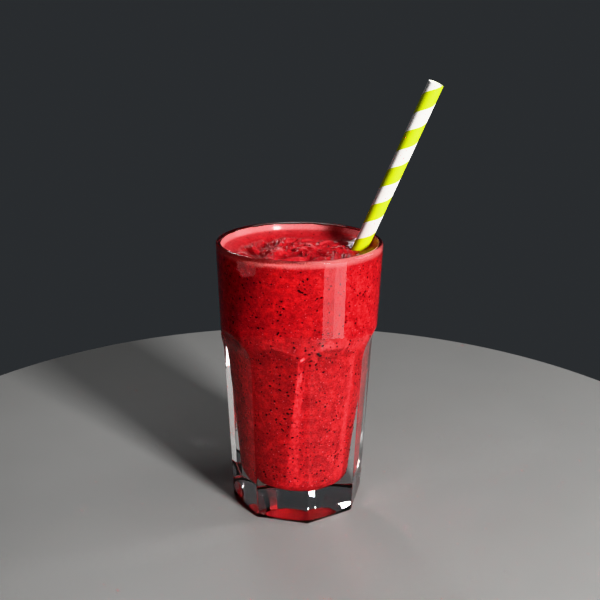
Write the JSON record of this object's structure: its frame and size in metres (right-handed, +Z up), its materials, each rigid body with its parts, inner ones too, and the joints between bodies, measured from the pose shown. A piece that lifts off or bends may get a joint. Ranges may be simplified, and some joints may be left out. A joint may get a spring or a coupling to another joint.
{
  "type": "strawberry smoothie in a glass",
  "caption": "Thick strawberry smoothie in a heavy clear tumbler with a round top and flat arched panels below, filled to just under the lip, with a striped paper straw leaning out.",
  "frame": {"origin": "middle of the glass's foot, on the surface that it stands on", "axes": "+Z up along the glass's axis; -Y is the front; the straw leans towards +X"},
  "size_m": [0.111, 0.085, 0.2234],
  "materials": {
    "glass": "clear pressed glass, polished",
    "smoothie": "thick wet fruit drink, with seeds and small bubbles",
    "straw": "white paper with a lime green spiral stripe",
    "seeds": "dark wet strawberry seeds",
    "bubbles": "pale pink froth specks"
  },
  "bodies": {
    "root": {"glass": "glass", "smoothie": "smoothie", "straw": "straw"}
  },
  "joints": []
}
